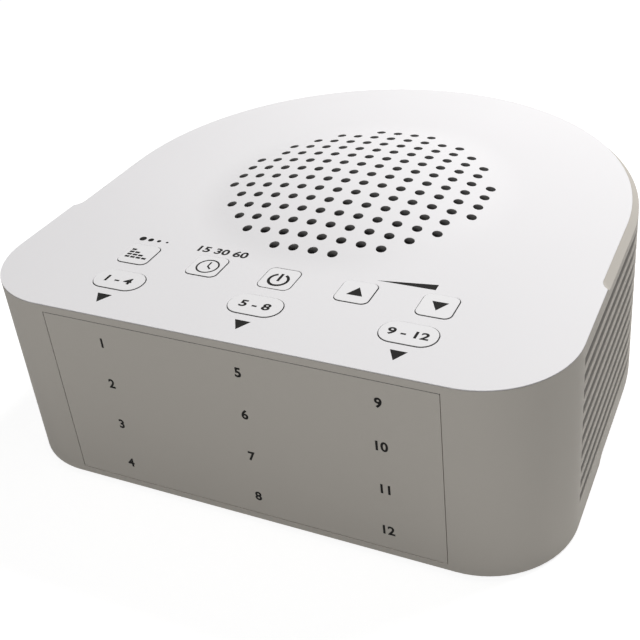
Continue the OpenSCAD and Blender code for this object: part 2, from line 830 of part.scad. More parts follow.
// Paper cone with its dust cap, half-round surround and the lip glued to the frame
module speaker_cone() {
    cap_z = cone_z + cone_h * (dust_cap_r - coil_r) / (cone_r - coil_r);
    cap_centre = cap_z + cone_t / 2 - sqrt(pow(dust_cap_sphere_r, 2) - pow(dust_cap_r, 2));
    color([0.13, 0.13, 0.14]) rotate_extrude() {
        polygon([
            [coil_r - coil_t, cone_z], [coil_r, cone_z], [cone_r, speaker_top],
            [cone_r, speaker_top + cone_t], [coil_r - coil_t, cone_z + cone_t]
        ]);
        difference() {
            translate([cone_r + roll_r, speaker_top]) circle(r = roll_r + cone_t / 2);
            translate([cone_r + roll_r, speaker_top]) circle(r = roll_r - cone_t / 2);
            translate([0, speaker_top - cone_h]) square([speaker_r, cone_h]);
        }
        translate([lip_in - cone_t / 2, speaker_top]) square([seat_w, cone_t]);
        intersection() {
            difference() {
                translate([0, cap_centre]) circle(r = dust_cap_sphere_r + cone_t / 2, $fn = 200);
                translate([0, cap_centre]) circle(r = dust_cap_sphere_r - cone_t / 2, $fn = 200);
            }
            translate([0, cap_z]) square([dust_cap_r, cone_h]);
        }
    }
}

// Rippled cloth disc that centres the voice coil, glued to the frame's shelf
module spider() {
    steps = 8 * ripple_count;
    flat_r = spider_r - spider_shelf;
    ripple = [
        for (i = [0 : steps])
            [coil_r + (flat_r - coil_r) * i / steps, spider_z + ripple_h * (1 - cos(360 * i / 8)) / 2]
    ];
    color([0.75, 0.55, 0.3]) rotate_extrude() polygon(concat(
        ripple,
        [[spider_r - eps, spider_z], [spider_r - eps, spider_z + coil_t]],
        [for (i = [steps : -1 : 0]) ripple[i] + [0, coil_t]]
    ));
}

// Copper winding on its former, in the gap between the pole and the pole plate
module voice_coil() {
    color([0.72, 0.45, 0.2]) translate([0, 0, cone_z - coil_h]) ring(coil_r, coil_r - coil_t, coil_h);
}

module pole_plate() {
    color([0.55, 0.56, 0.58]) translate([0, 0, plate_z])
        ring(magnet_r - iron_in, coil_r + coil_gap, iron_t);
}

module speaker_magnet() {
    color([0.18, 0.18, 0.19]) translate([0, 0, magnet_z])
        ring(magnet_r, coil_r + magnet_gap, magnet_h);
}

// Iron back plate with the round pole that stands inside the voice coil
module magnet_yoke() {
    color([0.55, 0.56, 0.58]) translate([0, 0, yoke_z]) {
        cylinder(r = magnet_r - iron_in, h = iron_t);
        cylinder(r = coil_r - coil_t - coil_gap, h = 2 * iron_t + magnet_h);
    }
}

// Fibre strip on the frame's foot with two solder lugs
module speaker_terminals() {
    color([0.6, 0.42, 0.22]) {
        difference() {
            translate([-lug_pitch, 0, frame_z]) cube([2 * lug_pitch, lug_y + lug_d, frame_t - lug_t]);
            translate([0, 0, frame_z - 1]) cylinder(r = frame_foot_r, h = frame_t + 2);
        }
        for (s = [-1, 1])
            translate([s * lug_pitch / 2, lug_y, lug_z - lug_t]) cylinder(d = lug_d, h = lug_t);
    }
}

module speaker_screws() {
    color("silver") at(ear_spots, speaker_top - frame_t)
        screw(small_screw_d, frame_t + small_screw_grip, small_head_d);
}

// Main board

module main_board() {
    color([0.1, 0.35, 0.2]) difference() {
        translate([-main_w / 2, main_y, main_z]) cube([main_w, main_d, board_t]);
        at(standoff_spots, main_z - 1)
            cylinder(r = small_screw_d / 2 + screw_gap, h = board_t + 2, $fn = 32);
    }
}

// Sound processor, sound memory and power amplifier
module board_chips() {
    color([0.12, 0.12, 0.13]) translate([0, main_back - main_d / 2, main_top])
        for (c = chips)
            translate([c[0], c[1], 0]) cube([c[2], c[3], c[4]]);
}

// Two upright smoothing capacitors beside the inlet
module board_capacitors() {
    color([0.2, 0.25, 0.4])
        for (s = [-1, 1])
            translate([s * capacitor_x, main_back - capacitor_in, main_top])
                cylinder(d = capacitor_d, h = capacitor_h);
}

// The sockets of the ribbon cable at its two ends, and of the speaker's wires
module cable_headers() {
    color([0.88, 0.86, 0.8]) {
        translate([-header_w / 2, ribbon_y - header_d / 2, keypad_under - header_h])
            cube([header_w, header_d, header_h]);
        translate([-header_w / 2, main_y, main_top]) cube([header_w, header_d, header_h]);
        translate([speaker_header_x - lug_pitch, speaker_header_y - header_d / 2, main_top])
            cube([2 * lug_pitch, header_d, header_h]);
    }
}

module board_screws() {
    color("silver") at(standoff_spots, main_top) mirror([0, 0, 1])
        screw(small_screw_d, board_t + small_screw_grip, small_head_d);
}

// Inlet for the mains adapter's plug, with its nose in the housing's hole
module dc_inlet() {
    color([0.12, 0.12, 0.13]) difference() {
        union() {
            translate([-inlet_w / 2, inlet_y - inlet_l, main_top]) cube([inlet_w, inlet_l, inlet_h]);
            translate([0, inlet_y - 1, inlet_z]) rotate([-90, 0, 0])
                cylinder(d = inlet_nose_d, h = inlet_end - inlet_y + 1);
        }
        translate([0, inlet_end - inlet_bore_l, inlet_z]) rotate([-90, 0, 0])
            cylinder(d = inlet_bore_d, h = inlet_bore_l + 1);
    }
}

module inlet_pin() {
    color("gold") translate([0, inlet_end - inlet_bore_l, inlet_z]) rotate([-90, 0, 0])
        cylinder(d = inlet_pin_d, h = inlet_pin_l);
}

// Cables inside the case

// Flat cable from the keypad board down and back to the main board
module ribbon_cable() {
    bend_y = ribbon_y + ribbon_bend_r;
    bend_z = ribbon_z + ribbon_bend_r;
    color([0.8, 0.8, 0.78]) translate([-ribbon_w / 2, 0, 0]) rotate([90, 0, 90]) linear_extrude(ribbon_w) {
        translate([ribbon_y - ribbon_t / 2, bend_z])
            square([ribbon_t, keypad_under - header_h - bend_z]);
        translate([bend_y, ribbon_z - ribbon_t / 2]) square([main_y - bend_y, ribbon_t]);
        intersection() {
            translate([bend_y, bend_z]) difference() {
                circle(r = ribbon_bend_r + ribbon_t / 2);
                circle(r = ribbon_bend_r - ribbon_t / 2);
            }
            translate([bend_y - 2 * ribbon_bend_r, bend_z - 2 * ribbon_bend_r]) square(2 * ribbon_bend_r);
        }
    }
}

// A point on the smooth curve through p, between p[i] and p[i + 1], at t from 0 to 1
function curve_point(p, i, t) =
    let(
        a = p[max(i - 1, 0)],
        b = p[i],
        c = p[i + 1],
        d = p[min(i + 2, len(p) - 1)]
    )
    (2 * b + (c - a) * t + (2 * a - 5 * b + 4 * c - d) * t * t + (3 * b - a - 3 * c + d) * t * t * t) / 2;

// A round tube along the smooth curve through a list of points
module tube(points, d, steps = 4, sides = 8) {
    line = [
        for (i = [0 : len(points) - 2], k = [0 : steps - 1]) curve_point(points, i, k / steps),
        points[len(points) - 1]
    ];
    n = len(line);
    rings = [
        for (i = [0 : n - 1])
            let(
                way = line[min(i + 1, n - 1)] - line[max(i - 1, 0)],
                side = cross(way, [1, 0, 0]) / norm(cross(way, [1, 0, 0])),
                up = cross(way, side) / norm(way)
            )
            for (k = [0 : sides - 1])
                line[i] + (side * cos(360 * k / sides) + up * sin(360 * k / sides)) * d / 2
    ];
    skin = [
        for (i = [0 : n - 2], k = [0 : sides - 1])
            let(a = i * sides + k, b = i * sides + (k + 1) % sides)
            [a, b, b + sides, a + sides]
    ];
    first = [for (k = [sides - 1 : -1 : 0]) k];
    last = [for (k = [0 : sides - 1]) (n - 1) * sides + k];
    polyhedron(points = rings, faces = concat(skin, [first, last]));
}

// Two wires from the speaker's lugs down to the main board
module speaker_wires() {
    color([0.7, 0.1, 0.1]) for (s = [-1, 1])
        tube(wire_points(s * lug_pitch / 2), wire_d);
}

top_cover();
housing();
front_panel();
base_plate();
rubber_feet();
case_screws();
fade_button();
timer_button();
power_button();
volume_up_button();
volume_down_button();
left_sound_button();
middle_sound_button();
right_sound_button();
fade_plunger();
timer_plunger();
power_plunger();
volume_up_plunger();
volume_down_plunger();
left_sound_plunger();
middle_sound_plunger();
right_sound_plunger();
tact_switches();
keypad_board();
keypad_screws();
speaker_gasket();
speaker_frame();
speaker_cone();
spider();
voice_coil();
pole_plate();
speaker_magnet();
magnet_yoke();
speaker_terminals();
speaker_screws();
main_board();
board_chips();
board_capacitors();
cable_headers();
board_screws();
dc_inlet();
inlet_pin();
ribbon_cable();
speaker_wires();
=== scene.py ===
# White noise sound machine: a bedside speaker with a square front and a half-round back.
# Metres. Origin on the resting surface under the grille's centre, +Z up, front at -Y.

from math import acos, atan2, cos, hypot, pi, radians, sin, sqrt

import bmesh
import bpy
from mathutils import Matrix, Vector


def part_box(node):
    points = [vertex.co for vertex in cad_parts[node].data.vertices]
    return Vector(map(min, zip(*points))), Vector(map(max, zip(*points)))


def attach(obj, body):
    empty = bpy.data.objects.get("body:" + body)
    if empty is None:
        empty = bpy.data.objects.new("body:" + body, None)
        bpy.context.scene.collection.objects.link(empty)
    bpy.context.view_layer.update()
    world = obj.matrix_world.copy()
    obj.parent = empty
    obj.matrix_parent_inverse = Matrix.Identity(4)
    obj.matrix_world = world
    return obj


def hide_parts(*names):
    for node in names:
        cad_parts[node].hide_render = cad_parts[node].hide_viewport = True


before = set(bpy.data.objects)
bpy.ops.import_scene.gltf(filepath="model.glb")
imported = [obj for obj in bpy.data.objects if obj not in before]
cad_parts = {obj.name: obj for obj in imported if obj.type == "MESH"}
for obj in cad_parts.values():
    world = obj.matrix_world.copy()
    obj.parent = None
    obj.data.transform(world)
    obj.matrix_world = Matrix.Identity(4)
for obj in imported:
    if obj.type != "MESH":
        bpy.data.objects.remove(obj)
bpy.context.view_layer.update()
mm = 0.001


# Top cover
# One white moulding: a flat plate with a mitred edge, a low dome with the grille's 148 holes, openings
# for eight buttons, and hanging posts. Injection moulded in ABS with a fine, even satin texture.

def link_piece(name, bm, material, body="case", replaces=()):
    """Makes a finished piece from a bmesh and puts it on its body."""
    bmesh.ops.recalc_face_normals(bm, faces=bm.faces)
    mesh = bpy.data.meshes.new(name)
    bm.to_mesh(mesh)
    bm.free()
    mesh.materials.append(material)
    mesh.polygons.foreach_set("use_smooth", [True] * len(mesh.polygons))
    piece = bpy.data.objects.new(name, mesh)
    bpy.context.scene.collection.objects.link(piece)
    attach(piece, body)
    if replaces:
        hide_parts(*replaces)
    return piece


def keep_flats_flat(piece):
    """Weights the normals by area, so that flats stay flat beside narrow rounded edges."""
    weighted = piece.modifiers.new("flat faces", "WEIGHTED_NORMAL")
    weighted.mode = "FACE_AREA"
    weighted.weight = 100


def add_node(tree, kind, inputs=None, **settings):
    """Adds a shader node; an input is a value, or a (node, output) pair to link from."""
    made = tree.nodes.new(kind)
    for key, value in settings.items():
        setattr(made, key, value)
    for key, value in (inputs or {}).items():
        if isinstance(value, tuple) and isinstance(value[0], bpy.types.Node):
            tree.links.new(value[0].outputs[value[1]], made.inputs[key])
        else:
            made.inputs[key].default_value = value
    return made


def new_material(name, **shader_values):
    """A material with a Principled shader; returns it with its tree, shader and object coordinates."""
    material = bpy.data.materials.new(name)
    material.use_nodes = True
    tree = material.node_tree
    shader = tree.nodes["Principled BSDF"]
    for key, value in shader_values.items():
        shader.inputs[key.replace("_", " ")].default_value = value
    place = add_node(tree, "ShaderNodeTexCoord")
    return material, tree, shader, (place, "Object")


def two_tones(tree, shader, mask, first, second, low=0.3, high=0.7):
    """Colours the surface in two tones by a texture's value."""
    ramp = add_node(tree, "ShaderNodeValToRGB", {"Fac": mask})
    ramp.color_ramp.elements[0].position = low
    ramp.color_ramp.elements[0].color = (*first, 1)
    ramp.color_ramp.elements[1].position = high
    ramp.color_ramp.elements[1].color = (*second, 1)
    tree.links.new(ramp.outputs["Color"], shader.inputs["Base Color"])


def relief(tree, shader, height, distance):
    """Bumps the surface by a texture's value."""
    bump = add_node(tree, "ShaderNodeBump", {"Height": height, "Distance": distance, "Strength": 1.0})
    tree.links.new(bump.outputs["Normal"], shader.inputs["Normal"])


drift_scale = 18.0


def moulded_plastic(name, colour, roughness=0.5, grain=0.25 * mm, depth=0.006 * mm, drift=0.02,
                    shine=0.25):
    """Textured moulding: fine grain, a slight drift of tone, and roughness that follows the grain."""
    material, tree, shader, place = new_material(name, Roughness=roughness, Specular_IOR_Level=shine)
    broad = add_node(tree, "ShaderNodeTexNoise", {"Vector": place, "Scale": drift_scale, "Detail": 2.0})
    darker = [c * (1 - drift) for c in colour]
    lighter = [min(1, c * (1 + drift)) for c in colour]
    two_tones(tree, shader, (broad, "Fac"), darker, lighter)
    fine = add_node(tree, "ShaderNodeTexNoise", {"Vector": place, "Scale": 1 / grain, "Detail": 2.0})
    gloss = add_node(tree, "ShaderNodeMapRange", {
        "Value": (fine, "Fac"), "From Min": 0.3, "From Max": 0.7,
        "To Min": roughness - 0.05, "To Max": roughness + 0.05})
    tree.links.new(gloss.outputs["Result"], shader.inputs["Roughness"])
    relief(tree, shader, (fine, "Fac"), depth)
    return material


def add_arc(bm, centre, radius, start, sweep, steps):
    """Spins a vertex about an upright axis and returns the arc's vertices in order."""
    verts = [bm.verts.new((centre[0] + radius * cos(start), centre[1] + radius * sin(start), 0))]
    bmesh.ops.spin(bm, geom=verts, cent=(*centre, 0), axis=(0, 0, 1), angle=sweep, steps=steps)
    for _ in range(steps):
        beside = [e.other_vert(verts[-1]) for e in verts[-1].link_edges]
        verts += [v for v in beside if v not in verts]
    return verts


def join_arcs(bm, arcs):
    """Closes a ring of arcs with straight edges and returns its vertices and edges."""
    verts = [v for arc in arcs for v in arc]
    for here, after in zip(arcs, arcs[1:] + arcs[:1]):
        bm.edges.new((here[-1], after[0]))
    return verts, [bm.edges.get(pair) for pair in zip(verts, verts[1:] + verts[:1])]


def round_rect(bm, centre, width, depth, radius, steps=8):
    """Draws the outline of a rectangle with round corners."""
    corners = [(1, 1), (-1, 1), (-1, -1), (1, -1)]
    arcs = [
        add_arc(bm, (centre[0] + sx * (width / 2 - radius), centre[1] + sy * (depth / 2 - radius)),
                radius, k * pi / 2, pi / 2, steps)
        for k, (sx, sy) in enumerate(corners)
    ]
    return join_arcs(bm, arcs)


merge_reach = 0.001 * mm


def turn(bm, profile, centre, steps):
    """Turns a profile of (radius, height) points about an upright axis and adds the solid."""
    solid = bmesh.new()
    verts = [solid.verts.new((r, 0, z)) for r, z in profile]
    edges = [solid.edges.new(pair) for pair in zip(verts, verts[1:])]
    if profile[0][0] > 0:
        edges.append(solid.edges.new((verts[-1], verts[0])))
    bmesh.ops.spin(solid, geom=verts + edges, cent=(0, 0, 0), axis=(0, 0, 1), angle=2 * pi,
                   steps=steps, use_merge=True)
    bmesh.ops.remove_doubles(solid, verts=solid.verts, dist=merge_reach)
    bmesh.ops.translate(solid, vec=(*centre, 0), verts=solid.verts)
    bmesh.ops.recalc_face_normals(solid, faces=solid.faces)
    carrier = bpy.data.meshes.new("turned")
    solid.to_mesh(carrier)
    solid.free()
    bm.from_mesh(carrier)
    bpy.data.meshes.remove(carrier)


wall_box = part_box("housing")
half_w = wall_box[1].x
top_z = wall_box[1].z
corner_r = 26.5 * mm
cover_t = 2.5 * mm
cover_land = 0.3 * mm
cover_under = top_z - cover_t
mitre = cover_t - cover_land

bevel_w = 2.05 * mm
bevel_reach = 31.5 * mm
bevel_end_r = 5 * mm
bevel_axis = bevel_end_r - bevel_w

hole_pitch = 6.35 * mm
hole_r = 1.55 * mm
hole_foot_r = 2.35 * mm
hole_edge = 0.08 * mm
hole_field_r = 43.2 * mm

dome_r = 257 * mm
dome_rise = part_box("top_cover")[1].z - top_z
dome_blend_r = 55 * mm
dome_z = top_z + dome_rise - dome_r
blend_z = top_z + dome_blend_r
blend_x = sqrt((dome_r + dome_blend_r) ** 2 - (blend_z - dome_z) ** 2)
touch_x = blend_x * dome_r / (dome_r + dome_blend_r)

square_size = (10.1 * mm, 10.2 * mm, 2 * mm)
oval_size = (16 * mm, 9.1 * mm, 4.3 * mm)
button_gap = 0.25 * mm
soft_edge = 0.08 * mm

square_keys = ["fade", "timer", "power", "volume_up", "volume_down"]
oval_keys = ["left_sound", "middle_sound", "right_sound"]
key_sizes = {**{k: square_size for k in square_keys}, **{k: oval_size for k in oval_keys}}
key_places = {}
for key in key_sizes:
    low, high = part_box(key + "_button")
    key_places[key] = ((low.x + high.x) / 2, (low.y + high.y) / 2)


def outer_height(r):
    """Height of the cover's outer face: the dome, the hollow blend round it, then the flat."""
    if r < touch_x:
        return dome_z + sqrt(dome_r ** 2 - r ** 2)
    if r < blend_x:
        return blend_z - sqrt(dome_blend_r ** 2 - (blend_x - r) ** 2)
    return top_z


def inner_height(r):
    """Height of the cover's underside: hollow under the dome, then flat."""
    return max(cover_under, dome_z + sqrt((dome_r - cover_t) ** 2 - r ** 2))


back_steps, corner_steps, notch_steps = 144, 24, 10


def cover_outline(bm, inset):
    """The cover's edge: the back lies inside the housing's bevel, which ends in a round notch."""
    wall = half_w - inset
    notch_r = bevel_end_r + inset
    notch = acos((bevel_axis + inset) / notch_r)
    corner = half_w - corner_r
    axis_x = half_w + bevel_axis
    return join_arcs(bm, [
        add_arc(bm, (0, 0), wall - bevel_w, 0, pi, back_steps),
        add_arc(bm, (-axis_x, -bevel_reach), notch_r, 0, -notch, notch_steps),
        add_arc(bm, (-corner, -corner), corner_r - inset, pi, pi / 2, corner_steps),
        add_arc(bm, (corner, -corner), corner_r - inset, -pi / 2, pi / 2, corner_steps),
        add_arc(bm, (axis_x, -bevel_reach), notch_r, pi + notch, -notch, notch_steps),
    ])


cell_steps = 6
hole_steps = 4 * cell_steps
grid_cells = 9
margin = 0.6 * mm
hair = 0.01 * mm
cover = bmesh.new()
bmesh.ops.create_grid(cover, x_segments=2 * grid_cells * cell_steps,
                      y_segments=2 * grid_cells * cell_steps, size=grid_cells * hole_pitch)


def near_button(x, y):
    """Whether a place lies in or close round a button's opening."""
    for key, (width, depth, _) in key_sizes.items():
        cx, cy = key_places[key]
        clear = button_gap + 2.5 * margin
        if abs(x - cx) < width / 2 + clear and abs(y - cy) < depth / 2 + clear:
            return True
    return False


spare = [f for f in cover.faces
         if hypot(*f.calc_center_median().xy) > blend_x + 2 * margin
         or near_button(*f.calc_center_median().xy)]
bmesh.ops.delete(cover, geom=spare, context="FACES")


def nearest_place(v):
    """The nearest place of the grille's square grid; it has a hole if it lies in the field."""
    return tuple((round(c / hole_pitch - 0.5) + 0.5) * hole_pitch for c in v.co.xy)


# each hole starts as the square of small faces round it, which become one face with 24 corners
inside = []
for v in cover.verts:
    spot = nearest_place(v)
    off_spot = max(abs(v.co.x - spot[0]), abs(v.co.y - spot[1]))
    if hypot(*spot) <= hole_field_r and off_spot < hole_pitch / 2 - hair:
        inside.append(v)
bmesh.ops.dissolve_verts(cover, verts=inside)
squares = [f for f in cover.faces if len(f.verts) == hole_steps]
bmesh.ops.inset_individual(cover, faces=squares, thickness=margin, use_even_offset=True)
half_step = pi / hole_steps
for f in squares:
    centre = f.calc_center_bounds()
    around = sorted(f.verts, key=lambda v: (
        atan2(v.co.y - centre.y, v.co.x - centre.x) + half_step) % (2 * pi))
    for i, v in enumerate(around):
        angle = 2 * pi * i / hole_steps
        v.co = centre + hole_r * Vector((cos(angle), sin(angle), 0))
bmesh.ops.delete(cover, geom=squares, context="FACES_ONLY")

# the flat round the dome: a narrow ring along the edge and round each opening, and fill between
fill = [e for e in cover.edges if e.is_boundary
        and hypot(*((e.verts[0].co + e.verts[1].co) / 2).xy) > hole_field_r + hole_pitch / 3]
edge_verts, edge_ring = cover_outline(cover, 0)
_, inner_ring = cover_outline(cover, margin)
bmesh.ops.bridge_loops(cover, edges=edge_ring + inner_ring)
fill += inner_ring
for key, (width, depth, radius) in key_sizes.items():
    rings = []
    for grow in (button_gap, button_gap + margin):
        _, ring = round_rect(cover, key_places[key], width + 2 * grow, depth + 2 * grow, radius + grow)
        rings.append(ring)
    bmesh.ops.bridge_loops(cover, edges=rings[0] + rings[1])
    fill += rings[1]
bmesh.ops.triangle_fill(cover, use_beauty=True, edges=fill, normal=(0, 0, 1))


def verts_in(geom):
    """The vertices among what an operator made."""
    return [g for g in geom if isinstance(g, bmesh.types.BMVert)]


def round_edges(bm, edges, width, segments=2):
    """Rounds edges as a mould leaves them."""
    bmesh.ops.bevel(bm, geom=edges, offset=width, offset_type="OFFSET", affect="EDGES",
                    segments=segments, profile=0.5, material=-1)


# the plate's thickness: the sheet is kept as its underside and extruded to its outer face, and the
# grille's holes widen inwards
under = list(cover.verts)
raised = bmesh.ops.extrude_face_region(cover, geom=cover.faces[:], use_keep_orig=True)["geom"]
for v in under:
    v.co.z = inner_height(hypot(*v.co.xy))
    spot = nearest_place(v)
    from_hole = Vector((v.co.x - spot[0], v.co.y - spot[1], 0))
    if hypot(*spot) <= hole_field_r and from_hole.length < hole_r + hair:
        v.co += from_hole * (hole_foot_r / hole_r - 1)
for v in verts_in(raised):
    v.co.z = outer_height(hypot(*v.co.xy))
scratch = bmesh.new()
low_verts, _ = cover_outline(scratch, mitre)
for v, target in zip(edge_verts, low_verts):
    v.co.x, v.co.y = target.co.x, target.co.y
scratch.free()
skin = {g for g in raised if isinstance(g, bmesh.types.BMFace)}
rims = [g for g in raised if isinstance(g, bmesh.types.BMEdge) and not skin.issuperset(g.link_faces)]
rim_step = 2 * hole_r * sin(half_step)
grille_rims = [e for e in rims if e.calc_length() < 1.05 * rim_step]
other_rims = [e for e in rims if e not in set(grille_rims)]
round_edges(cover, grille_rims, hole_edge)
round_edges(cover, other_rims, soft_edge)
slopes = [e for e in cover.edges
          if hypot(*(e.verts[0].co - e.verts[1].co).xy) > mitre / 2
          and abs(e.verts[0].co.z - e.verts[1].co.z) > cover_t - 2 * soft_edge
          and max(hypot(*v.co.xy) for v in e.verts) > blend_x]
split = bmesh.ops.subdivide_edges(cover, edges=slopes, cuts=1)["geom_inner"]
for v in verts_in(split):
    above = max((e.other_vert(v) for e in v.link_edges), key=lambda other: other.co.z)
    v.co = Vector((above.co.x, above.co.y, top_z - cover_land))

# the seat ring for the speaker, and the posts with their screw holes
seat_r = 46.5 * mm
seat_w = 2.4 * mm
seat_h = 2 * mm
seat_z = cover_under - seat_h
seat_steps = 96
post_top = top_z - cover_t / 2
post_steps = 24
turn(cover, [(seat_r - seat_w, seat_z), (seat_r, seat_z), (seat_r, post_top), (seat_r - seat_w, post_top)],
     (0, 0), seat_steps)


def screw_post(spot, foot, post_r, hole, depth):
    """A post that hangs from the cover's underside, with a blind hole in its foot."""
    turn(cover, [(0, foot + depth), (hole, foot + depth), (hole, foot), (post_r, foot),
                 (post_r, post_top), (0, post_top)], spot, post_steps)


def mirrored(x, y):
    """A place on the left and its mirror place on the right."""
    return [(-x, y), (x, y)]


speaker_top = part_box("speaker_frame")[1].z
ear_r = 51 * mm
ear_reach = ear_r * cos(pi / 4)
speaker_post_r = 3.5 * mm
small_hole_r = 1.1 * mm
small_hole_l = 4 * mm
for spot in mirrored(ear_reach, ear_reach) + mirrored(ear_reach, -ear_reach):
    screw_post(spot, speaker_top, speaker_post_r, small_hole_r, small_hole_l)

keypad_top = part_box("keypad_board")[1].z
square_row = key_places["power"][1]
oval_row = key_places["middle_sound"][1]
outer_post_x = 57.65 * mm
inner_post_x = 11.875 * mm
keypad_post_r = 2.75 * mm
keypad_posts = [(outer_post_x, square_row), (outer_post_x, oval_row), (inner_post_x, square_row)]
for place in keypad_posts:
    for spot in mirrored(*place):
        screw_post(spot, keypad_top, keypad_post_r, small_hole_r, small_hole_l)

base_t = 2.5 * mm
base_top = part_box("base_plate")[0].z + base_t
case_post_r = 3.5 * mm
case_hole_r = 1.3 * mm
case_hole_l = 12 * mm
front_post = (66 * mm, -66 * mm)
back_post = (50.02 * mm, 51.79 * mm)
for place in (front_post, back_post):
    for spot in mirrored(*place):
        screw_post(spot, base_top, case_post_r, case_hole_r, case_hole_l)

cover_tone = (0.845, 0.832, 0.84)
# the darker grey is painted shade on the walls of the grille's holes
hole_painted_shade = (0.42, 0.412, 0.405)
hole_shade = 0.2 * mm


def own_axes(tree):
    """The place on the piece, split into X, Y and Z."""
    place = add_node(tree, "ShaderNodeTexCoord")
    return add_node(tree, "ShaderNodeSeparateXYZ", {"Vector": (place, "Object")})


def length_of(tree, **parts):
    """The length of a vector from its parts."""
    arm = add_node(tree, "ShaderNodeCombineXYZ", parts)
    return (add_node(tree, "ShaderNodeVectorMath", {0: (arm, "Vector")}, operation="LENGTH"), "Value")


def falloff(tree, value, whole, none):
    """One at the first limit, nought at the second, and a straight slope between them."""
    return (add_node(tree, "ShaderNodeMapRange", {
        "Value": value, "From Min": whole, "From Max": none, "To Min": 1.0, "To Max": 0.0}), "Result")


def paint_over(material, mask, colour):
    """Lays a second colour over a material's own, as far as the mask is one."""
    tree = material.node_tree
    shader = tree.nodes["Principled BSDF"]
    own = shader.inputs["Base Color"].links[0].from_socket
    mixed = add_node(tree, "ShaderNodeMix", {"Factor": mask, 7: (*colour, 1)}, data_type="RGBA")
    tree.links.new(own, mixed.inputs[6])
    tree.links.new(mixed.outputs[2], shader.inputs["Base Color"])


def pierced_moulding(name):
    """The cover's moulding, with painted shade on the walls of the grille's holes: a darker grey below the
    rim.
    """
    material = moulded_plastic(name, cover_tone, roughness=0.5, drift=0.006, shine=0.15)
    tree = material.node_tree
    part = own_axes(tree)
    lift = add_node(tree, "ShaderNodeMath", {0: (part, "Z"), 1: dome_z}, operation="SUBTRACT")
    reach = length_of(tree, X=(part, "X"), Y=(part, "Y"), Z=(lift, "Value"))
    # painted shade: below the rim, the walls of the grille's holes are coloured a darker grey
    paint_over(material, falloff(tree, reach, dome_r - hole_shade, dome_r - hole_edge), hole_painted_shade)
    return material


cover_white = pierced_moulding("cover_white")
piece = link_piece("cover_moulding", cover, cover_white, replaces=["top_cover"])
keep_flats_flat(piece)


# Housing
# Warm grey moulding with the wall, ten grooves round the sides and back, a bevel round the back of
# the top edge and another round the back of the bottom edge. Moulded in ABS with a satin texture.

weld_reach = 0.002 * mm
flat_angle = radians(0.4)
sharp_angle = radians(28)


def edged_copy(node, material, edge, redraw=None):
    """A merged copy of a node, with its sharp edges rounded as a mould leaves them."""
    bm = bmesh.new()
    bm.from_mesh(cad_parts[node].data)
    bmesh.ops.remove_doubles(bm, verts=bm.verts, dist=weld_reach)
    if redraw:
        redraw(bm)
    bmesh.ops.dissolve_limit(bm, angle_limit=flat_angle, verts=bm.verts, edges=bm.edges,
                             use_dissolve_boundaries=False, delimit=set())
    made = link_piece(node + "_moulding", bm, material, replaces=[node])
    rounded = made.modifiers.new("rounded edges", "BEVEL")
    rounded.width = edge
    rounded.segments = 2
    rounded.limit_method = "ANGLE"
    rounded.angle_limit = sharp_angle
    keep_flats_flat(made)


near = 0.02 * mm
ridge_h = 1.8 * mm
least_row = 15
patch_half = half_w / 10
groove_zs = (9 * mm, top_z - 4.5 * mm)


def groove_edges(bm, side):
    """Each groove's edges on one side of the round wall: rows of vertices, from the front to the back."""
    wall = [v for v in bm.verts if v.co.y > -near and side * v.co.x > patch_half
            and abs(hypot(*v.co.xy) - half_w) < 1.5 * near and groove_zs[0] < v.co.z < groove_zs[1]]
    rows = []
    for v in sorted(wall, key=lambda v: v.co.z):
        if rows and v.co.z < rows[-1][0].co.z + near:
            rows[-1].append(v)
        else:
            rows.append([v])
    return [sorted(row, key=lambda v: v.co.y) for row in rows if len(row) >= least_row]


def even_ridges(bm):
    """Redraws each ridge between two grooves as upright faces, where its edges match."""
    for side in (-1, 1):
        rows = groove_edges(bm, side)
        for lows, highs in zip(rows, rows[1:]):
            height = highs[0].co.z - lows[0].co.z
            apart = max((a.co.xy - b.co.xy).length for a, b in zip(lows, highs))
            if height > ridge_h + near or len(lows) != len(highs) or apart > near:
                continue
            strip = set(lows + highs)
            old = {f for v in strip for f in v.link_faces if strip.issuperset(f.verts)}
            bmesh.ops.delete(bm, geom=list(old), context="FACES")
            for i in range(len(lows) - 1):
                bm.faces.new((lows[i], lows[i + 1], highs[i + 1], highs[i]))


wall_grey = (0.594, 0.56, 0.508)
# the darker grey is painted shade on the grooves' floors, where the ridges above shade them
groove_painted_shade = (0.37, 0.353, 0.33)
groove_edge = 0.3 * mm
groove_ends_y = -61.2 * mm


def grooved_moulding(name):
    """The wall's moulding, with painted shade on the grooves' floors: a darker grey laid over them."""
    material = moulded_plastic(name, wall_grey, roughness=0.7, drift=0.012, shine=0.1)
    tree = material.node_tree
    part = own_axes(tree)
    behind = add_node(tree, "ShaderNodeMath", {0: (part, "Y"), 1: 0.0}, operation="MAXIMUM")
    reach = length_of(tree, X=(part, "X"), Y=(behind, "Value"))
    mask = falloff(tree, reach, half_w - groove_edge, half_w - groove_edge / 3)
    limits = [("Y", "GREATER_THAN", groove_ends_y), ("Z", "GREATER_THAN", groove_zs[0]),
              ("Z", "LESS_THAN", groove_zs[1])]
    for axis, test, limit in limits:
        within = add_node(tree, "ShaderNodeMath", {0: (part, axis), 1: limit}, operation=test)
        both = add_node(tree, "ShaderNodeMath", {0: mask, 1: (within, "Value")}, operation="MULTIPLY")
        mask = (both, "Value")
    # painted shade: the grooves' floors are coloured a darker grey
    paint_over(material, mask, groove_painted_shade)
    return material


housing_grey = grooved_moulding("housing_grey")
edged_copy("housing", housing_grey, edge=0.15 * mm, redraw=even_ridges)


# Front panel
# A flat plate in the same grey, glued into the recess in the housing's front with a hairline gap
# round it. Its rows of numbers, one for each sound, are pad printed in a near-black ink.

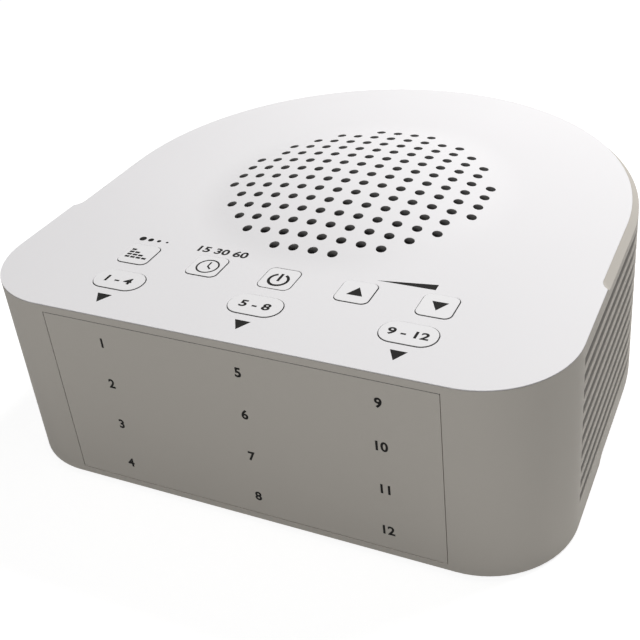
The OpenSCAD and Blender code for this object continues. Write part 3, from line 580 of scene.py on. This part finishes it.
panel_low, panel_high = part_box("front_panel")
print_t = 0.04 * mm
panel_edge = 0.05 * mm
print_room = Vector((0, print_t, 0))
panel = bmesh.new()
bmesh.ops.create_cube(panel, size=1)
bmesh.ops.scale(panel, vec=panel_high - panel_low - print_room, verts=panel.verts)
bmesh.ops.translate(panel, vec=(panel_low + panel_high + print_room) / 2, verts=panel.verts)
round_edges(panel, panel.edges[:], panel_edge)

# the darker grey is painted shade along the panel's upper edge, standing for the shadow in the gap
panel_gap_shade = (0.32, 0.31, 0.29)


def cut_plate(name):
    """The panel's moulding, with painted shade along its upper side, where the hairline gap above it falls
    dark.
    """
    material = moulded_plastic(name, wall_grey, roughness=0.65, drift=0.01, shine=0.1)
    tree = material.node_tree
    upper = falloff(tree, (own_axes(tree), "Z"), panel_high.z - panel_edge, panel_high.z - 2 * panel_edge)
    # painted shade: the panel's upper side is coloured darker, as the gap's shadow line
    paint_over(material, upper, panel_gap_shade)
    return material


panel_grey = cut_plate("panel_grey")
piece = link_piece("panel_plate", panel, panel_grey, replaces=["front_panel"])
keep_flats_flat(piece)

ink_colour = (0.008, 0.0076, 0.007)
ink_grain = 0.15 * mm


def printing_ink():
    """Dull, near-black ink with the faint mottle of a pad print."""
    material, tree, shader, place = new_material("printing_ink", Roughness=0.7, Specular_IOR_Level=0.12)
    grain = add_node(tree, "ShaderNodeTexNoise", {"Vector": place, "Scale": 1 / ink_grain, "Detail": 1.0})
    two_tones(tree, shader, (grain, "Fac"), ink_colour, [2 * c for c in ink_colour], 0.45, 0.75)
    return material


ink = printing_ink()
font_figure_h = 0.729
bolder = 0.042
font_merge = 0.0005 * mm


def printed_text(name, text, height, place, body="case", width=None):
    """Plain figures as a thin layer of ink, drawn round the middle of the XY plane; place turns and
    moves them. A width stretches them."""
    curve = bpy.data.curves.new(name, "FONT")
    curve.body = text
    curve.size = height / font_figure_h
    curve.offset = bolder * height
    curve.extrude = print_t / 2
    curve.resolution_u = 4
    carrier = bpy.data.objects.new(name, curve)
    bpy.context.scene.collection.objects.link(carrier)
    view = bpy.context.evaluated_depsgraph_get()
    mesh = bpy.data.meshes.new_from_object(carrier.evaluated_get(view))
    bpy.data.objects.remove(carrier)
    bpy.data.curves.remove(curve)
    bm = bmesh.new()
    bm.from_mesh(mesh)
    bpy.data.meshes.remove(mesh)
    bmesh.ops.remove_doubles(bm, verts=bm.verts, dist=font_merge)
    xs = [v.co.x for v in bm.verts]
    bmesh.ops.translate(bm, vec=(-(min(xs) + max(xs)) / 2, -height / 2, 0), verts=bm.verts)
    if width:
        bmesh.ops.scale(bm, vec=(width / (max(xs) - min(xs)), 1, 1), verts=bm.verts)
    bmesh.ops.transform(bm, matrix=place, verts=bm.verts)
    link_print(name, bm, body)


def link_print(name, bm, body):
    """Prints lie flat on a button or the panel, and follow the cover where it rises to the dome."""
    if body == "case":
        for v in bm.verts:
            if v.co.z > top_z - print_t:
                v.co.z += outer_height(hypot(*v.co.xy)) - top_z
    made = link_piece(name, bm, ink, body)
    made.data.polygons.foreach_set("use_smooth", [False] * len(made.data.polygons))


figure_h = 3.1 * mm
column_xs = [-40.6 * mm, 2.8 * mm, 42.8 * mm]
row_drops = [9.3 * mm, 23.5 * mm, 38.2 * mm, 53 * mm]
upright = Matrix.Rotation(pi / 2, 4, "X")
for column, x in enumerate(column_xs):
    for row, drop in enumerate(row_drops):
        number = 1 + 4 * column + row
        spot = Matrix.Translation((x, panel_low.y + print_t / 2, top_z - drop))
        printed_text(f"number_{number}", str(number), figure_h, spot @ upright)


# Buttons
# Eight white caps that stand a hair above the cover, each with a flange that stops it under the
# cover and a stem over its switch. Moulded in ABS, a little smoother than the cover round them.

cap_tone = (0.86, 0.85, 0.855)
# the near-black grey is painted shade on the caps' sides, standing for the shadowed gap round them
cap_side_shade = (0.10, 0.10, 0.10)
side_shade_depth = 0.05 * mm


def white_cap(name, cap_top):
    """The caps are white on top; below the top's edge the sides carry painted shade, a near-black grey
    that stands for the dark gap round each cap.
    """
    material = moulded_plastic(name, cap_tone, roughness=0.42, drift=0.006, shine=0.2)
    tree = material.node_tree
    sides = falloff(tree, (own_axes(tree), "Z"), cap_top - 2 * side_shade_depth, cap_top - side_shade_depth)
    # painted shade: the caps' sides below the top edge are coloured near-black
    paint_over(material, sides, cap_side_shade)
    return material


button_white = white_cap("button_white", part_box("fade_button")[1].z)
power_white = white_cap("power_white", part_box("power_button")[1].z)
flange_w = 1.2 * mm
flange_t = 1 * mm
flange_gap = 0.3 * mm
stem_r = 2 * mm
cap_edge = 0.08 * mm


def make_button(key, width, depth, radius):
    """The flange is extruded up, inset to the cap's outline, and the cap is extruded from it."""
    low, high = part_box(key + "_button")
    spot = key_places[key]
    flange_top = cover_under - flange_gap
    bm = bmesh.new()
    _, ring = round_rect(bm, spot, width + 2 * flange_w, depth + 2 * flange_w, radius + flange_w)
    bmesh.ops.translate(bm, vec=(0, 0, flange_top - flange_t), verts=bm.verts)
    bmesh.ops.contextual_create(bm, geom=ring)
    grown = bmesh.ops.extrude_face_region(bm, geom=bm.faces[:], use_keep_orig=True)["geom"]
    bmesh.ops.translate(bm, vec=(0, 0, flange_t), verts=verts_in(grown))
    top = [g for g in grown if isinstance(g, bmesh.types.BMFace)]
    bmesh.ops.inset_region(bm, faces=top, thickness=flange_w, use_even_offset=True)
    grown = bmesh.ops.extrude_face_region(bm, geom=top)["geom"]
    bmesh.ops.delete(bm, geom=top, context="FACES_ONLY")
    cap = verts_in(grown)
    bmesh.ops.translate(bm, vec=(0, 0, high.z - flange_top), verts=cap)
    rim = [e for e in bm.edges if e.verts[0] in cap and e.verts[1] in cap]
    round_edges(bm, rim, cap_edge, segments=3)
    stem_top = flange_top - flange_t / 2
    turn(bm, [(0, low.z), (stem_r, low.z), (stem_r, stem_top), (0, stem_top)], spot, post_steps)
    white = power_white if key == "power" else button_white
    made = link_piece(key + "_cap", bm, white, key + "_key", [key + "_button"])
    keep_flats_flat(made)


for key, size in key_sizes.items():
    make_button(key, *size)


# Signs
# The plain signs on and beside the buttons, pad printed in the same ink: a staircase of dashes, a
# clock, a power sign, arrows, a wedge for the loudness and the numbers that each oval button holds.

disc_steps = 24
band_steps = 48


def bar(bm, start, end, width):
    """A straight stroke between two points."""
    along = Vector(end) - Vector(start)
    made = bmesh.ops.create_grid(bm, x_segments=1, y_segments=1, size=0.5)["verts"]
    bmesh.ops.scale(bm, vec=(along.length, width, 1), verts=made)
    bmesh.ops.rotate(bm, matrix=Matrix.Rotation(atan2(along.y, along.x), 3, "Z"), verts=made)
    middle = (Vector(start) + Vector(end)) / 2
    bmesh.ops.translate(bm, vec=(middle.x, middle.y, 0), verts=made)


def disc(bm, x, y, radius):
    """A round dot."""
    spot = Matrix.Translation((x, y, 0))
    bmesh.ops.create_circle(bm, cap_ends=True, radius=radius, segments=disc_steps, matrix=spot)


def band(bm, radius, width, start=0, sweep=2 * pi):
    """A round stroke about the sign's middle."""
    reaches = (radius - width / 2, radius + width / 2)
    ends = [bm.verts.new((r * cos(start), r * sin(start), 0)) for r in reaches]
    edge = bm.edges.new(ends)
    bmesh.ops.spin(bm, geom=[*ends, edge], cent=(0, 0, 0), axis=(0, 0, 1), angle=sweep,
                   steps=band_steps, use_merge=sweep == 2 * pi)


def arrow(bm, width, height, way):
    """A triangle, centred, that points to the back or the front."""
    made = bmesh.ops.create_circle(bm, cap_ends=True, radius=1, segments=3)["verts"]
    tip = max(made, key=lambda v: v.co.y)
    low = min(v.co.y for v in made)
    wide = 2 * max(v.co.x for v in made)
    tall = tip.co.y - low
    bmesh.ops.translate(bm, vec=(0, -low - tall / 2, 0), verts=made)
    bmesh.ops.scale(bm, vec=(width / wide, way * height / tall, 1), verts=made)


def place_sign(name, bm, x, y, key=None):
    """Gives a flat sign the ink's thickness and lays it on the cover or on a button."""
    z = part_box(key + "_button")[1].z if key else top_z
    raised = bmesh.ops.extrude_face_region(bm, geom=bm.faces[:], use_keep_orig=True)["geom"]
    bmesh.ops.translate(bm, vec=(0, 0, print_t), verts=verts_in(raised))
    bmesh.ops.translate(bm, vec=(x, y, z - print_t / 2), verts=bm.verts)
    link_print(name, bm, key + "_key" if key else "case")


dash_l, dash_w = 1.55 * mm, 0.85 * mm
dash_pitch_x, dash_pitch_y = 1.95 * mm, 1.35 * mm
dash_rows = 4
stairs = bmesh.new()
for row in range(dash_rows):
    for i in range(row + 1):
        x = (i - (dash_rows - 1) / 2) * dash_pitch_x
        y = ((dash_rows - 1) / 2 - row) * dash_pitch_y
        bar(stairs, (x - dash_l / 2, y), (x + dash_l / 2, y), dash_w)
place_sign("stairs_sign", stairs, *key_places["fade"], "fade")

clock_r = 3.3 * mm
clock_stroke = 0.52 * mm
minute_hand = (0, 0.1 * mm), (0, 2.3 * mm)
hour_hand = (-0.08 * mm, 0.08 * mm), (1.35 * mm, -1.2 * mm)
clock_shift = (0.33 * mm, -0.2 * mm)
clock = bmesh.new()
band(clock, clock_r, clock_stroke)
bar(clock, *minute_hand, clock_stroke)
bar(clock, *hour_hand, clock_stroke)
x, y = key_places["timer"]
place_sign("clock_sign", clock, x + clock_shift[0], y + clock_shift[1], "timer")

power_r = 2.85 * mm
power_stroke = 0.85 * mm
power_gap = radians(26)
power_bar = (0, -0.7 * mm), (0, 3.2 * mm)
power_shift = -0.6 * mm
power = bmesh.new()
band(power, power_r, power_stroke, pi / 2 + power_gap, 2 * pi - 2 * power_gap)
bar(power, *power_bar, power_stroke)
x, y = key_places["power"]
place_sign("power_sign", power, x, y + power_shift, "power")

arrow_size = (4.8 * mm, 4.1 * mm)
arrow_shift = 0.2 * mm
for key, way in (("volume_up", 1), ("volume_down", -1)):
    sign = bmesh.new()
    arrow(sign, *arrow_size, way)
    x, y = key_places[key]
    place_sign(key + "_sign", sign, x + arrow_shift, y + way * arrow_shift, key)
pointer_shift = (0.3 * mm, -9.5 * mm)
for key in oval_keys:
    sign = bmesh.new()
    arrow(sign, *arrow_size, -1)
    x, y = key_places[key]
    place_sign(key + "_arrow", sign, x + pointer_shift[0], y + pointer_shift[1])

label_h = 2.95 * mm
label_widths = (8.8 * mm, 9.4 * mm, 11.6 * mm)
for key, text, width in zip(oval_keys, ("1 - 4", "5 - 8", "9 - 12"), label_widths):
    spot = Matrix.Translation((*key_places[key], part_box(key + "_button")[1].z))
    printed_text(key + "_numbers", text, label_h, spot, key + "_key", width)

label_rise = 8.6 * mm
label_y = square_row + label_rise
minutes_x = key_places["timer"][0] + 0.5 * mm
minutes_w = 16.8 * mm
printed_text("timer_numbers", "15 30 60", label_h, Matrix.Translation((minutes_x, label_y, top_z)),
             width=minutes_w)

dot_count = 4
dot_pitch = 2.9 * mm
first_dot_r = 1.15 * mm
dot_loss = 0.24 * mm
dots = bmesh.new()
for i in range(dot_count):
    disc(dots, (i - (dot_count - 1) / 2) * dot_pitch, 0, first_dot_r - dot_loss * i)
place_sign("fade_dots", dots, key_places["fade"][0], label_y)

wedge_l, wedge_h = 17.2 * mm, 2.7 * mm
wedge = bmesh.new()
points = [(-wedge_l / 2, -wedge_h / 2), (wedge_l / 2, -wedge_h / 2), (wedge_l / 2, wedge_h / 2)]
bmesh.ops.contextual_create(wedge, geom=[wedge.verts.new((x, y, 0)) for x, y in points])
wedge_x = (key_places["volume_up"][0] + key_places["volume_down"][0]) / 2
place_sign("volume_wedge", wedge, wedge_x, label_y)


# Keypad
# Under the buttons: a glass-fibre circuit board on the cover's posts, with eight tactile switches,
# each a black case with a plunger that its button's stem stands on, and six plated screws.

def finish_node(node, material):
    """Gives a node of the frame its finish."""
    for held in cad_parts[node].material_slots:
        held.material = material


track_scale = 220.0
weave_scale = 1800.0
turning_scale = 1500.0


def circuit_board(name):
    """Green solder mask over copper tracks, with a faint glass weave."""
    material, tree, shader, place = new_material(name, Roughness=0.3)
    tracks = add_node(tree, "ShaderNodeTexBrick", {
        "Vector": place, "Scale": track_scale, "Mortar Size": 0.04, "Mortar Smooth": 0.1,
        "Brick Width": 1.7, "Row Height": 0.5, "Color1": (0.012, 0.10, 0.035, 1),
        "Color2": (0.010, 0.085, 0.030, 1), "Mortar": (0.03, 0.22, 0.07, 1)})
    tree.links.new(tracks.outputs["Color"], shader.inputs["Base Color"])
    weave = add_node(tree, "ShaderNodeTexNoise", {"Vector": place, "Scale": weave_scale, "Detail": 1.0})
    relief(tree, shader, (weave, "Fac"), 0.01 * mm)
    return material


def plated_steel(name, colour=(0.62, 0.61, 0.59), roughness=0.28):
    """Zinc plated steel with fine turning marks."""
    material, tree, shader, place = new_material(name, Metallic=1.0, Roughness=roughness)
    grain = add_node(tree, "ShaderNodeTexNoise", {"Vector": place, "Scale": turning_scale, "Detail": 2.0})
    two_tones(tree, shader, (grain, "Fac"), [0.8 * c for c in colour], colour)
    relief(tree, shader, (grain, "Fac"), 0.004 * mm)
    return material


board_green = circuit_board("board_green")
switch_black = moulded_plastic("switch_black", (0.03, 0.03, 0.033), roughness=0.45)
screw_steel = plated_steel("screw_steel")
finish_node("keypad_board", board_green)
finish_node("keypad_screws", screw_steel)
finish_node("tact_switches", switch_black)
for key in key_sizes:
    finish_node(key + "_plunger", switch_black)


# Speaker
# A 3.5 inch driver screwed to the cover's posts: foam gasket, pressed steel frame painted black,
# pressed paper cone, cloth spider, copper coil, and a ferrite ring between two plated iron plates.

def speckled(name, first, second, size, roughness, depth):
    """A surface of fine grains in two tones, such as foam, ferrite, paper or sleeve."""
    material, tree, shader, place = new_material(name, Roughness=roughness)
    grain = add_node(tree, "ShaderNodeTexNoise", {"Vector": place, "Scale": 1 / size, "Detail": 3.0})
    two_tones(tree, shader, (grain, "Fac"), first, second, 0.35, 0.65)
    relief(tree, shader, (grain, "Fac"), depth)
    return material


def banded(name, first, second, pitch, direction, roughness, depth, metallic=0.0):
    """Parallel lines in two tones, such as a winding, a woven cloth's cords or a flat cable."""
    material, tree, shader, place = new_material(name, Roughness=roughness, Metallic=metallic)
    wave = add_node(tree, "ShaderNodeTexWave", {"Vector": place, "Scale": pi / (10 * pitch)},
                    wave_type="BANDS", bands_direction=direction)
    two_tones(tree, shader, (wave, "Fac"), first, second, 0.1, 0.6)
    relief(tree, shader, (wave, "Fac"), depth)
    return material


plated_iron = plated_steel("magnet_iron", (0.50, 0.50, 0.47), roughness=0.38)
finish_node("speaker_gasket", speckled(
    "gasket_foam", (0.02, 0.02, 0.02), (0.05, 0.05, 0.05), size=0.4 * mm, roughness=0.9, depth=0.1 * mm))
finish_node("speaker_frame", moulded_plastic(
    "frame_black", (0.035, 0.035, 0.037), roughness=0.35, grain=0.6 * mm))
finish_node("speaker_cone", speckled(
    "cone_paper", (0.045, 0.045, 0.047), (0.075, 0.074, 0.073), size=0.3 * mm, roughness=0.85,
    depth=0.03 * mm))
finish_node("spider", banded(
    "spider_cloth", (0.36, 0.20, 0.07), (0.55, 0.36, 0.16), pitch=0.5 * mm, direction="X",
    roughness=0.8, depth=0.05 * mm))
finish_node("voice_coil", banded(
    "coil_copper", (0.35, 0.13, 0.05), (0.72, 0.34, 0.16), pitch=0.25 * mm, direction="Z",
    roughness=0.3, depth=0.05 * mm, metallic=1.0))
finish_node("pole_plate", plated_iron)
finish_node("magnet_yoke", plated_iron)
finish_node("speaker_magnet", speckled(
    "magnet_ferrite", (0.03, 0.03, 0.032), (0.06, 0.06, 0.062), size=0.5 * mm, roughness=0.6,
    depth=0.02 * mm))
finish_node("speaker_terminals", speckled(
    "terminal_fibre", (0.30, 0.17, 0.07), (0.42, 0.26, 0.12), size=0.6 * mm, roughness=0.7,
    depth=0.02 * mm))
finish_node("speaker_screws", screw_steel)


# Base plate, feet and case screws
# A plate in a darker grey closes the housing from below. Four screws in sunk holes pull the cover's
# posts down onto it, and four soft rubber feet sit in pockets.

base_grey = moulded_plastic("base_grey", (0.42, 0.40, 0.37), roughness=0.6, drift=0.02)
edged_copy("base_plate", base_grey, edge=0.12 * mm)
foot_rubber = speckled(
    "foot_rubber", (0.018, 0.018, 0.018), (0.032, 0.031, 0.030), size=0.3 * mm, roughness=0.75,
    depth=0.02 * mm)
edged_copy("rubber_feet", foot_rubber, edge=0.1 * mm)
finish_node("case_screws", screw_steel)


# Main board
# A second glass-fibre board on the base plate's standoffs carries the sound chips, two smoothing
# capacitors in printed sleeves and the cables' cream headers. Four plated screws hold it.

finish_node("main_board", board_green)
finish_node("board_screws", screw_steel)
finish_node("board_chips", moulded_plastic(
    "chip_black", (0.025, 0.025, 0.027), roughness=0.6, grain=0.12 * mm))
finish_node("board_capacitors", speckled(
    "capacitor_sleeve", (0.02, 0.03, 0.10), (0.03, 0.05, 0.15), size=1.2 * mm, roughness=0.35,
    depth=0.01 * mm))
finish_node("cable_headers", moulded_plastic("header_cream", (0.74, 0.70, 0.58)))


# Inlet
# A black moulded socket for the mains adapter's plug. Its nose fills the housing's round hole, and
# a bright pin stands in the middle of its bore.

inlet_black = moulded_plastic("inlet_black", (0.022, 0.022, 0.024), roughness=0.4)
edged_copy("dc_inlet", inlet_black, edge=0.12 * mm)
finish_node("inlet_pin", plated_steel("inlet_pin_metal", (0.72, 0.66, 0.50), roughness=0.2))


# Cables
# A grey ribbon of parallel wires joins the two boards, and a pair of wires in red sleeves feeds the
# speaker. Their ends are pushed into the boards' headers and soldered to the speaker's lugs.

finish_node("ribbon_cable", banded(
    "ribbon_grey", (0.34, 0.34, 0.35), (0.55, 0.55, 0.55), pitch=1.27 * mm, direction="X",
    roughness=0.45, depth=0.2 * mm))
finish_node("speaker_wires", speckled(
    "wire_red", (0.42, 0.02, 0.02), (0.50, 0.035, 0.03), size=2 * mm, roughness=0.4, depth=0.01 * mm))


# Studio
# A plain floor of pale paper and a white surround, soft lamps above the back, the right and the
# front, and the camera in front on the right.

def for_camera(tree):
    """One where a ray comes from the camera or from a mirror or glass, and nought elsewhere."""
    path = add_node(tree, "ShaderNodeLightPath")
    mirror = add_node(tree, "ShaderNodeMath", {0: (path, "Is Camera Ray"), 1: (path, "Is Glossy Ray")},
                      operation="MAXIMUM")
    return (add_node(tree, "ShaderNodeMath", {0: (mirror, "Value"), 1: (path, "Is Transmission Ray")},
                     operation="MAXIMUM"), "Value")


def grey(tone):
    """A neutral colour."""
    return (tone, tone, tone, 1)


floor_half = 6
floor_tone = 0.7
seen_tone, seen_glow = 0.5, 0.82
floor = bmesh.new()
bmesh.ops.create_grid(floor, x_segments=1, y_segments=1, size=floor_half)
floor_mesh = bpy.data.meshes.new("floor")
floor.to_mesh(floor_mesh)
floor.free()
floor_piece = bpy.data.objects.new("floor", floor_mesh)
bpy.context.scene.collection.objects.link(floor_piece)
paper = bpy.data.materials.new("paper")
paper.use_nodes = True
tree = paper.node_tree
tree.nodes.clear()
bounce = add_node(tree, "ShaderNodeBsdfDiffuse", {"Color": grey(floor_tone)})
seen = add_node(tree, "ShaderNodeBsdfDiffuse", {"Color": grey(seen_tone)})
glow = add_node(tree, "ShaderNodeEmission", {"Strength": seen_glow})
both = add_node(tree, "ShaderNodeAddShader", {0: (seen, "BSDF"), 1: (glow, "Emission")})
pick = add_node(tree, "ShaderNodeMixShader", {
    0: for_camera(tree), 1: (bounce, "BSDF"), 2: (both, "Shader")})
add_node(tree, "ShaderNodeOutputMaterial", {"Surface": (pick, "Shader")})
floor_mesh.materials.append(paper)

ambient_light = 0.15
world = bpy.data.worlds.new("surround")
bpy.context.scene.world = world
world.use_nodes = True
tree = world.node_tree
tree.nodes.clear()
ambient = add_node(tree, "ShaderNodeBackground", {"Color": grey(1), "Strength": ambient_light})
white = add_node(tree, "ShaderNodeBackground", {"Color": grey(1), "Strength": 1.0})
pick = add_node(tree, "ShaderNodeMixShader", {
    0: for_camera(tree), 1: (ambient, "Background"), 2: (white, "Background")})
add_node(tree, "ShaderNodeOutputWorld", {"Surface": (pick, "Shader")})


lit_spot = (0.02, 0, 0.06)
lamp_size = 0.16


def add_lamp(name, place, power):
    """A round, soft lamp that points at the object."""
    lamp = bpy.data.lights.new(name, "AREA")
    lamp.shape = "DISK"
    lamp.size = lamp_size
    lamp.energy = power
    held = bpy.data.objects.new(name, lamp)
    held.location = place
    held.rotation_euler = (Vector(lit_spot) - Vector(place)).to_track_quat("-Z", "Y").to_euler()
    bpy.context.scene.collection.objects.link(held)


add_lamp("back_lamp", (0.10, 0.30, 0.55), power=2.18)
add_lamp("right_lamp", (0.45, 0.35, 0.65), power=1.59)
add_lamp("front_lamp", (0, -0.6, 0.5), power=1.13)

# a pinhole camera: its focal length and the foot of its axis are in pixels of a square image
image_px = 640
focal_px = 1036.31
middle_px = (368.57, 244.51)
camera_place = (131.54 * mm, -269.64 * mm, 216.67 * mm)
camera_turn = (radians(59.804), radians(4.183), radians(23.318))
camera = bpy.data.cameras.new("camera")
camera.sensor_width = 36
camera.lens = focal_px * camera.sensor_width / image_px
camera.shift_x = 0.5 - middle_px[0] / image_px
camera.shift_y = middle_px[1] / image_px - 0.5
camera.clip_start = 0.01
camera_piece = bpy.data.objects.new("camera", camera)
camera_piece.location = camera_place
camera_piece.rotation_euler = camera_turn
bpy.context.scene.collection.objects.link(camera_piece)
bpy.context.scene.camera = camera_piece
bpy.context.scene.view_settings.view_transform = "Standard"
